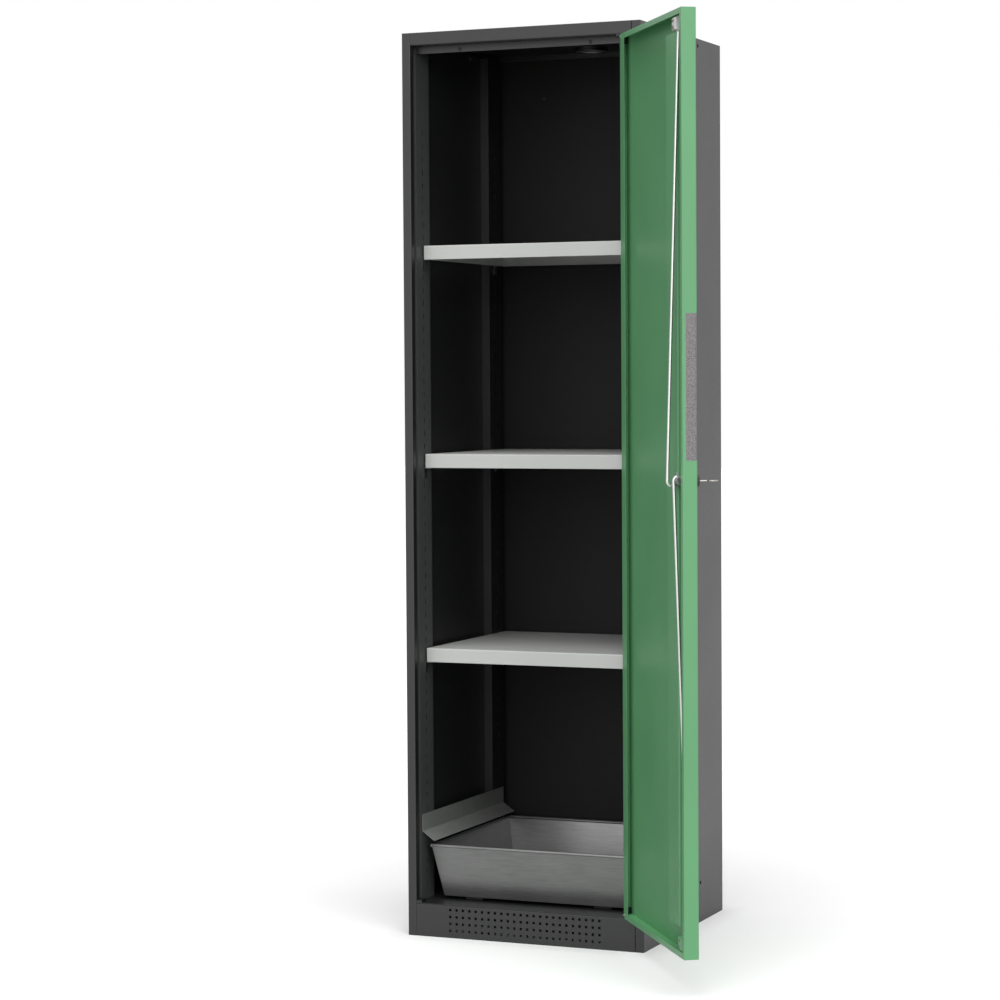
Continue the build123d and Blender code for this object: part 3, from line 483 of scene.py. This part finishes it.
def carried(path, radius, side, sides, loop=False):
    """A round section carried along a path that lies in the plane square to side.

    Point = path + radius * (cos(turn) * side + sin(turn) * up), where up is square to the path
    and to side.
    """
    ahead = np.roll(path, -1, 0) - np.roll(path, 1, 0) if loop else np.gradient(path, axis=0)
    up = np.cross(unit(ahead), side)
    turn = np.linspace(0, 2 * pi, sides, endpoint=False)
    around = np.cos(turn)[None, :, None] * side + np.sin(turn)[None, :, None] * up[:, None, :]
    return path[:, None, :] + np.reshape(radius, (-1, 1, 1)) * around, loop, True


def rounded_edge(radius, height, rounding, count):
    """Quarter circle from the rim of a profile to its flat top.

    Radius = radius - rounding * (1 - cos(turn)), height = height - rounding * (1 - sin(turn)).
    """
    turn = np.linspace(0, pi / 2, count)
    across = radius - rounding * (1 - np.cos(turn))
    return np.stack([across, height - rounding * (1 - np.sin(turn))], -1)


def dome(radius, rim, height, count):
    """Quarter ellipse from the top of a profile's rim to its middle.

    Radius = radius * cos(turn), height = rim + (height - rim) * sin(turn).
    """
    turn = np.linspace(0, pi / 2, count)
    return np.stack([radius * np.cos(turn), rim + (height - rim) * np.sin(turn)], -1)


# Lock and rods, in the axes of the door at rest
LOCK = np.array(joints["lock_turn"]["pos_m"])
OUTWARD = unit(np.array(joints["lock_turn"]["axis"]))
TOWARDS_HINGE = np.cross(UP, OUTWARD)
CAM_DEPTH = 0.0315
ROD_RADIUS = 0.003
ROD_BEND = 0.009
ROD_OFFSET = 0.010
ROD_HALF_TRAVEL = 0.009425
UPPER_ROD_DEPTH = 0.0465
LOWER_ROD_DEPTH = 0.0395
ROD_SIDES = 16
ELBOW_POINTS = 14
ROD_TIP_POINTS = 7


def bent_rod(depth, offset, rise, direction, tip_height):
    """Rod that leaves the cam squarely, turns through an elbow and runs straight to its tip.

    Elbow point = start + bend * (sin(turn) * inward + (1 - cos(turn)) * square), where square is
    the part of the rod's direction that is square to inward. Each end narrows as a half circle.
    """
    inward = -OUTWARD
    corner = LOCK + depth * inward + offset * TOWARDS_HINGE + np.array((0, 0, rise))
    angle = np.arccos(inward @ direction)
    square = unit(direction - (inward @ direction) * inward)
    start = corner - ROD_BEND * np.tan(angle / 2) * inward
    turn = np.linspace(0, angle, ELBOW_POINTS)[:, None]
    elbow = start + ROD_BEND * (np.sin(turn) * inward + (1 - np.cos(turn)) * square)
    heel = corner - (depth - CAM_DEPTH) * inward
    tip = corner + direction * ((tip_height - corner[2]) / direction[2])
    narrowing = np.linspace(0, pi / 2, ROD_TIP_POINTS)
    sunk = ROD_RADIUS * (1 - np.cos(narrowing))[:, None]
    path = np.concatenate([heel + sunk * inward, elbow, tip - sunk[::-1] * direction])
    thin = ROD_RADIUS * np.sin(narrowing)
    radius = np.concatenate([thin, np.full(len(elbow), ROD_RADIUS), thin[::-1]])
    return carried(path, radius, TOWARDS_HINGE, ROD_SIDES)


def make_rods():
    """The two rods, from the cam to the heights of the CAD rods' tips."""
    upper = bent_rod(
        UPPER_ROD_DEPTH,
        ROD_OFFSET,
        -ROD_HALF_TRAVEL,
        unit(np.array(joints["upper_rod_slide"]["axis"])),
        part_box("upper_rod")[1].z,
    )
    lower = bent_rod(
        LOWER_ROD_DEPTH,
        -ROD_OFFSET,
        ROD_HALF_TRAVEL,
        unit(np.array(joints["lower_rod_slide"]["axis"])),
        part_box("lower_rod")[0].z,
    )
    make_piece("upper_rod_bent", [upper], "bright_steel", "upper_rod", ["upper_rod"])
    make_piece("lower_rod_bent", [lower], "bright_steel", "lower_rod", ["lower_rod"])


# Lock rosette
ROSETTE_RADIUS = 0.014
ROSETTE_BORE = 0.0073
ROSETTE_HEIGHT = 0.0135
ROSETTE_ROUND = 0.0022
ROSETTE_LEAD_IN = 0.0005
ROSETTE_SIDES = 64
ROSETTE_EDGE_POINTS = 9


def make_rosette():
    """Ring round the lock, with a rounded shoulder between its rim and its flat face."""
    shoulder = rounded_edge(ROSETTE_RADIUS, ROSETTE_HEIGHT, ROSETTE_ROUND, ROSETTE_EDGE_POINTS)
    bore = [
        (ROSETTE_BORE + ROSETTE_LEAD_IN, ROSETTE_HEIGHT),
        (ROSETTE_BORE, ROSETTE_HEIGHT - ROSETTE_LEAD_IN),
        (ROSETTE_BORE, 0),
        (ROSETTE_RADIUS, 0),
    ]
    profile = np.concatenate([shoulder, bore])
    ring = turned(profile, LOCK, OUTWARD, ROSETTE_SIDES, ring=True)
    make_piece("lock_rosette_ring", [ring], "black_plastic", "door", ["lock_rosette"])


# Screw heads
SCREW_RADIUS = 0.0032
SCREW_HEIGHT = 0.0018
SCREW_ROUND = 0.0012
SCREW_SIDES = 20
SCREW_EDGE_POINTS = 6
SOCKET_RADIUS = 0.0015
SOCKET_DEPTH = 0.0011
GUIDE_DEPTH = 0.031
GUIDE_SCREW_OFFSET = 0.0065
PIVOT_PLATE = 0.003
PIVOT_SCREW_SETBACK = 0.006


def screw_head(place, axis):
    """Low round head with a rounded edge and a round socket in the middle."""
    start = [(0, 0), (SCREW_RADIUS, 0)]
    edge = rounded_edge(SCREW_RADIUS, SCREW_HEIGHT, SCREW_ROUND, SCREW_EDGE_POINTS)
    bottom = SCREW_HEIGHT - SOCKET_DEPTH
    socket = [(SOCKET_RADIUS, SCREW_HEIGHT), (SOCKET_RADIUS, bottom), (0, bottom)]
    return turned(np.concatenate([start, edge, socket]), place, axis, SCREW_SIDES)


def make_screws():
    """Heads on the rod guides' faces and on the free ends of the hinge plates."""
    heads = []
    for node in ("upper_rod_guide", "lower_rod_guide"):
        centre = middle(node)
        face = centre + OUTWARD * ((LOCK - centre) @ OUTWARD - GUIDE_DEPTH)
        for rise in (-GUIDE_SCREW_OFFSET, GUIDE_SCREW_OFFSET):
            heads.append(screw_head(face + (0, 0, rise), -OUTWARD))
    make_piece("guide_screws", heads, "galvanised", "door")
    heads = []
    for node, corner, axis in (("lower_hinge_pivot", 0, UP), ("upper_hinge_pivot", 1, DOWN)):
        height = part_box(node)[corner].z + PIVOT_PLATE * axis[2]
        free_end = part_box(node)[0].x + PIVOT_SCREW_SETBACK
        heads.append(screw_head((free_end, middle(node)[1], height), axis))
    make_piece("hinge_screws", heads, "bright_steel", "carcass")


# Door buffers
BUFFER_RADIUS = 0.004
BUFFER_RIM_SHARE = 0.35
BUFFER_SIDES = 24
BUFFER_DOME_POINTS = 9


def make_buffers():
    """Domed pads on the stop lip, each a low rim under a dome."""
    low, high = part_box("door_buffers")
    depth = high.y - low.y
    top = dome(BUFFER_RADIUS, BUFFER_RIM_SHARE * depth, depth, BUFFER_DOME_POINTS)
    profile = np.concatenate([[(0, 0), (BUFFER_RADIUS, 0)], top])
    height = (low.z + high.z) / 2
    places = [(x, high.y, height) for x in (low.x + BUFFER_RADIUS, high.x - BUFFER_RADIUS)]
    pads = [turned(profile, place, FORWARD, BUFFER_SIDES) for place in places]
    make_piece("door_buffer_pads", pads, "buffer_rubber", "carcass", ["door_buffers"])


# Plugs in the fixing holes
PLUG_WALL = 0.0006
PLUG_SUNK = 0.0002
PLUG_RECESS = 0.0035
PLUG_LENGTH = 0.0050
PLUG_SIDES = 28


def hole_plug(place, axis, radius):
    """Cup pressed into a hole, its dished end below the sheet's outer face."""
    inner = radius - PLUG_WALL
    profile = [
        (0, -PLUG_RECESS),
        (inner, -PLUG_RECESS),
        (inner, -PLUG_SUNK),
        (radius, -PLUG_SUNK),
        (radius, PLUG_WALL - PLUG_LENGTH),
        (inner, -PLUG_LENGTH),
        (0, -PLUG_LENGTH),
    ]
    return turned(profile, place, axis, PLUG_SIDES)


def make_plugs():
    """Plugs in the wall-fixing and side-joining holes, where the record says they are."""
    plugs = []
    for name, spacing, direction in (
        ("wall_fixing", "spacing_x_mm", (1, 0, 0)),
        ("side_joining_left", "spacing_y_mm", UP),
        ("side_joining_right", "spacing_y_mm", UP),
    ):
        mount = mounts[name]
        centre = np.array(mount["pos_m"])
        half = mount["dims"][spacing] * MILLIMETRE / 2 * np.array(direction)
        radius = mount["dims"]["hole_r_mm"] * MILLIMETRE
        for place in (centre - half, centre + half):
            plugs.append(hole_plug(place, mount["axis"], radius))
    make_piece("hole_plugs", plugs, "buffer_rubber", "carcass")


# Rim of the sump tray
RIM_ROLL = 0.0032
RIM_INSET = 0.002
RIM_CORNER = 0.006
RIM_CORNER_POINTS = 9
RIM_SIDES = 14
QUARTERS = np.array([(1, 1), (-1, 1), (-1, -1), (1, -1)])


def make_tray_rim():
    """Rolled edge: a round section carried round the tray's rim.

    The rim is a rectangle with quarter-circle corners:
    point = corner + rounding * (cos(turn), sin(turn)), a quarter turn at each of four corners.
    """
    low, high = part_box("sump_tray")
    reach = np.array((high.x - RIM_INSET - RIM_CORNER, high.y - RIM_INSET - RIM_CORNER))
    starts = np.arange(len(QUARTERS))[:, None] * pi / 2
    turn = starts + np.linspace(0, pi / 2, RIM_CORNER_POINTS)
    corners = QUARTERS[:, None, :] * reach
    ring = corners + RIM_CORNER * np.stack([np.cos(turn), np.sin(turn)], -1)
    path = np.insert(ring.reshape(-1, 2), 2, high.z - RIM_ROLL, axis=1)
    path[:, 1] += (low.y + high.y) / 2
    roll = carried(path, RIM_ROLL, np.array(UP), RIM_SIDES, loop=True)
    make_piece("tray_rolled_rim", [roll], "galvanised", "carcass")


# Trim of the exhaust spigot
SPIGOT_BEAD = 0.0016
SPIGOT_FLANGE = 0.0012
SPIGOT_RIVET_INSET = 0.007
BEAD_SECTION_POINTS = 14
BEAD_SIDES = 72
RIVET_RADIUS = 0.0035
RIVET_HEIGHT = 0.0014
RIVET_SIDES = 20
RIVET_DOME_POINTS = 7


def round_bead(place, radius, thickness):
    """Ring of round section: radius + thickness * cos(turn) and thickness * sin(turn), turned."""
    turn = np.linspace(0, 2 * pi, BEAD_SECTION_POINTS, endpoint=False)
    profile = np.stack([radius + thickness * np.cos(turn), thickness * np.sin(turn)], -1)
    return turned(profile, place, UP, BEAD_SIDES, ring=True)


def rivet(place, axis):
    """Domed head without a rim."""
    profile = np.concatenate([[(0, 0)], dome(RIVET_RADIUS, 0, RIVET_HEIGHT, RIVET_DOME_POINTS)])
    return turned(profile, place, axis, RIVET_SIDES)


def make_spigot_trim():
    """Rolled ends and a seal on the exhaust collar, and a rivet at each corner of its flange."""
    low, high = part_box("exhaust_spigot")
    mount = mounts["exhaust_spigot"]
    radius = mount["dims"]["r_mm"] * MILLIMETRE - SPIGOT_BEAD / 2
    x, y, seal_height = mount["pos_m"]
    heights = (low.z + SPIGOT_BEAD, high.z - SPIGOT_BEAD)
    beads = [round_bead((x, y, height), radius, SPIGOT_BEAD) for height in heights]
    make_piece("spigot_rolled_ends", beads, "carcass_paint", "carcass")
    seal = round_bead((x, y, seal_height), radius + SPIGOT_BEAD / 2, SPIGOT_BEAD)
    make_piece("spigot_seal", [seal], "buffer_rubber", "carcass")
    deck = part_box("roof_panel")[1].z + SPIGOT_FLANGE
    rivets = [
        rivet((side_x, side_y, deck), UP)
        for side_x in (low.x + SPIGOT_RIVET_INSET, high.x - SPIGOT_RIVET_INSET)
        for side_y in (low.y + SPIGOT_RIVET_INSET, high.y - SPIGOT_RIVET_INSET)
    ]
    make_piece("spigot_rivets", rivets, "bright_steel", "carcass")


# Levelling feet
PAD_RADIUS = 0.016
PAD_HEIGHT = 0.009
PAD_NECK = 0.008
PAD_EDGE = 0.002
PAD_SIDES = 36
PAD_FLANK_POINTS = 12
STUD_RADIUS = 0.005
STUD_SIDES = 20
THREAD_PITCH = 0.0015
THREAD_DEPTH = 0.0006
NUT_RADIUS = 0.009
NUT_HEIGHT = 0.008
NUT_CHAMFER = 0.0009
NUT_TOP = 0.020
NUT_SIDES = 6
CAD_FOOT_FLAT_SHARE = cos(pi / 6)


def foot_pad(place):
    """Moulded pad whose flank is a half wave of a cosine from its rim to its neck."""
    flank = np.linspace(0, 1, PAD_FLANK_POINTS)
    wave = (1 + np.cos(pi * flank)) / 2
    radius = PAD_NECK + (PAD_RADIUS - PAD_NECK) * wave
    side = np.stack([radius, PAD_EDGE + (PAD_HEIGHT - PAD_EDGE) * flank], -1)
    profile = np.concatenate([[(0, 0), (PAD_RADIUS, 0)], side, [(0, PAD_HEIGHT)]])
    return turned(profile, place, UP, PAD_SIDES)


def foot_stud(place, top):
    """Stud whose radius drops by a thread's depth at every other half pitch."""
    half_pitch = THREAD_PITCH / 2
    steps = np.arange(int((top - PAD_HEIGHT) / THREAD_PITCH * 2))
    radius = STUD_RADIUS - THREAD_DEPTH * (steps % 2)
    thread = np.stack([radius, PAD_HEIGHT + steps * half_pitch], -1)
    profile = np.concatenate([[(0, PAD_HEIGHT)], thread, [(0, top)]])
    return turned(profile, place, UP, STUD_SIDES)


def foot_nut(place):
    """Nut: a chamfered ring's profile turned in six steps."""
    low = NUT_TOP - NUT_HEIGHT
    profile = [
        (STUD_RADIUS, low),
        (NUT_RADIUS - NUT_CHAMFER, low),
        (NUT_RADIUS, low + NUT_CHAMFER),
        (NUT_RADIUS, NUT_TOP - NUT_CHAMFER),
        (NUT_RADIUS - NUT_CHAMFER, NUT_TOP),
        (STUD_RADIUS, NUT_TOP),
    ]
    return turned(profile, place, UP, NUT_SIDES, ring=True)


def make_feet():
    """Four feet where the CAD has its own, the pads moulded and the rest of steel.

    The CAD feet are six-sided, with corners across the width and flats across the depth.
    """
    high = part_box("levelling_feet")[1]
    reach_x = high.x - PAD_RADIUS
    reach_y = high.y - PAD_RADIUS * CAD_FOOT_FLAT_SHARE
    places = [(x, y, 0) for x in (-reach_x, reach_x) for y in (-reach_y, reach_y)]
    pads = [foot_pad(place) for place in places]
    make_piece("foot_pads", pads, "black_plastic", "carcass")
    steel = []
    for place in places:
        steel += [foot_stud(place, high.z), foot_nut(place)]
    make_piece("foot_studs", steel, "bright_steel", "carcass", ["levelling_feet"])


# Studio
AMBIENT = 0.22
FRONT_LAMP = (0.10, -0.97, 0.20)
FRONT_STRENGTH = 1.5
FRONT_SPREAD = radians(60)
SIDE_LAMP = (0.80, -0.57, 0.20)
SIDE_STRENGTH = 0.5
SIDE_SPREAD = radians(25)
TOP_LAMP = (0.15, -0.30, 0.94)
TOP_STRENGTH = 2.5
TOP_SPREAD = radians(60)
FLOOR_REACH = 30.0
FLOOR_COLOUR = (0.97, 0.97, 0.97, 1)
FLOOR_ROUGHNESS = 0.9
FLOOR_SHINE = 0.1
FLOOR_LIFT = 0.12
# Width past the outline over which the floor's lift fades in, a painted shadow along the base
LIFT_EDGE = 0.06


def make_lamp(name, towards, strength, spread_angle):
    """Far soft lamp in a given direction."""
    light = bpy.data.lights.new(name, "SUN")
    light.energy = strength
    light.angle = spread_angle
    lamp = bpy.data.objects.new(name, light)
    lamp.rotation_euler = Vector(towards).to_track_quat("Z", "Y").to_euler()
    scene.collection.objects.link(lamp)


def make_lamps():
    """Lamps in front, at the right and above."""
    make_lamp("front_lamp", FRONT_LAMP, FRONT_STRENGTH, FRONT_SPREAD)
    make_lamp("side_lamp", SIDE_LAMP, SIDE_STRENGTH, SIDE_SPREAD)
    make_lamp("top_lamp", TOP_LAMP, TOP_STRENGTH, TOP_SPREAD)


def seen_directly(tree):
    """One for rays from the camera, off a shiny face or through glass, and nought for others."""
    rays = tree.nodes.new("ShaderNodeLightPath")
    camera = Val(tree, rays.outputs["Is Camera Ray"])
    glossy = Val(tree, rays.outputs["Is Glossy Ray"])
    through = Val(tree, rays.outputs["Is Transmission Ray"])
    return camera.maths("MINIMUM", camera + glossy + through, 1.0)


def floor_paint():
    """Pale dull paint, lifted to white where it is seen directly, outside the cabinet's outline; the lift fades in
    over LIFT_EDGE, which leaves a painted shadow along the base.
    """
    paint = bpy.data.materials.new("floor")
    paint.use_nodes = True
    tree = paint.node_tree
    place = object_place(tree)
    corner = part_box("right_side_panel")[1]
    beyond = [
        place.maths("ABSOLUTE", coordinate(place, axis)) - reach
        for axis, reach in (("X", corner.x), ("Y", corner.y))
    ]
    # painted shadow: the lift fades in past the outline, so the floor stays darker along the base
    outside = spread(place.maths("MAXIMUM", *beyond), 0.0, LIFT_EDGE)
    glow = mixed(seen_directly(tree) * outside, BLACK, WHITE)
    shader = tree.nodes["Principled BSDF"]
    for name, value in (
        ("Base Color", FLOOR_COLOUR),
        ("Roughness", FLOOR_ROUGHNESS),
        ("Specular IOR Level", FLOOR_SHINE),
        ("Emission Color", glow),
        ("Emission Strength", FLOOR_LIFT),
    ):
        glow.feed(shader.inputs[name], value)
    return paint


def make_floor():
    """Wide square floor that takes the cabinet's shadow and throws no light back."""
    square = np.array([(-1, -1, 0), (1, -1, 0), (1, 1, 0), (-1, 1, 0)]) * FLOOR_REACH
    mesh = bpy.data.meshes.new("floor")
    mesh.from_pydata(square.tolist(), [], [(0, 1, 2, 3)])
    mesh.materials.append(floor_paint())
    floor = bpy.data.objects.new("floor", mesh)
    scene.collection.objects.link(floor)
    floor.visible_diffuse = False


def make_surround():
    """White for the camera and for reflections, and a dim even light for everything else."""
    world = bpy.data.worlds.new("surround")
    world.use_nodes = True
    strength = AMBIENT + (1 - AMBIENT) * seen_directly(world.node_tree)
    background = world.node_tree.nodes["Background"]
    background.inputs["Color"].default_value = WHITE
    strength.feed(background.inputs["Strength"], strength)
    scene.world = world


set_camera()
dress_nodes()
make_rods()
make_rosette()
make_screws()
make_buffers()
make_plugs()
make_tray_rim()
make_spigot_trim()
make_feet()
make_floor()
make_surround()
make_lamps()
